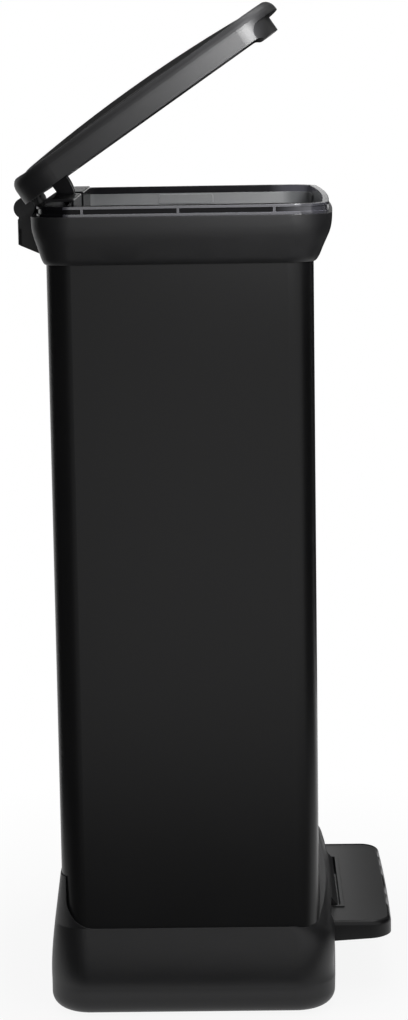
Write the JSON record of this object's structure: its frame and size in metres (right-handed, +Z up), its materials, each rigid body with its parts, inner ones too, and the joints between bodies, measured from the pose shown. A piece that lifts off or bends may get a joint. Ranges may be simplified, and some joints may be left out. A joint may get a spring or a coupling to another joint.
{
  "type": "pedal bin",
  "caption": "Tall slim kitchen waste bin with a sheet-metal body, a flared collar and base, and a hinged lid that a foot pedal lifts through a push rod.",
  "frame": {"origin": "on the floor, under the middle of the whole bin in the pose that is modelled", "axes": "+Z up, -Y to the front where the pedal is, X across the width"},
  "size_m": [0.39, 0.3308, 0.8835],
  "materials": {
    "satin_black_steel": "satin black coating on sheet steel",
    "textured_black": "finely textured black moulding",
    "gloss_black": "polished black moulding",
    "grey_plastic": "smooth grey moulding",
    "white_nylon": "smooth white bearing plastic",
    "zinc_steel": "bright zinc-plated steel",
    "steel": "plain bright steel",
    "rubber": "soft black rubber"
  },
  "bodies": {
    "bin": {"base": "textured_black", "floor_pads": "rubber", "body_shell": "satin_black_steel", "collar": "textured_black", "rim_ring": "gloss_black", "rear_guard": "gloss_black", "bag_strip_left": "grey_plastic", "bag_strip_right": "grey_plastic", "hinge_housing": "textured_black", "hinge_pin": "steel", "hinge_screws": "steel", "rod_channel": "zinc_steel", "channel_screws": "steel", "rod_guides": "white_nylon", "pedal_axle": "steel", "axle_clips": "steel"},
    "lid": {"lid_frame": "textured_black", "lid_panel": "satin_black_steel", "lid_liner": "textured_black", "liner_screws": "steel", "lid_buffers": "rubber", "lid_lever": "gloss_black", "lever_pin": "steel"},
    "rod": {"push_rod": "zinc_steel", "rod_cap": "white_nylon"},
    "pedal": {"pedal_lever": "zinc_steel", "pedal_tread": "satin_black_steel", "tread_rivets": "steel"}
  },
  "joints": [
    {"name": "lid_hinge", "type": "hinge", "parent": "bin", "child": "lid", "pos_m": [0, 0.1561, 0.7075], "axis": [-1, 0, 0], "range_deg": [-34.3, 40]},
    {"name": "rod_lift", "type": "slide", "parent": "bin", "child": "rod", "axis": [0, 0, 1], "range_m": [-0.02153, 0.02511]},
    {"name": "pedal_pivot", "type": "hinge", "parent": "bin", "child": "pedal", "pos_m": [0, -0.0804, 0.05], "axis": [1, 0, 0], "range_deg": [-6.16, 7.18]}
  ],
  "couplings": [
    {"joint": "rod_lift", "follows": "lid_hinge", "m_per_rad": 0.03595},
    {"joint": "pedal_pivot", "follows": "lid_hinge", "ratio": 0.1793}
  ]
}
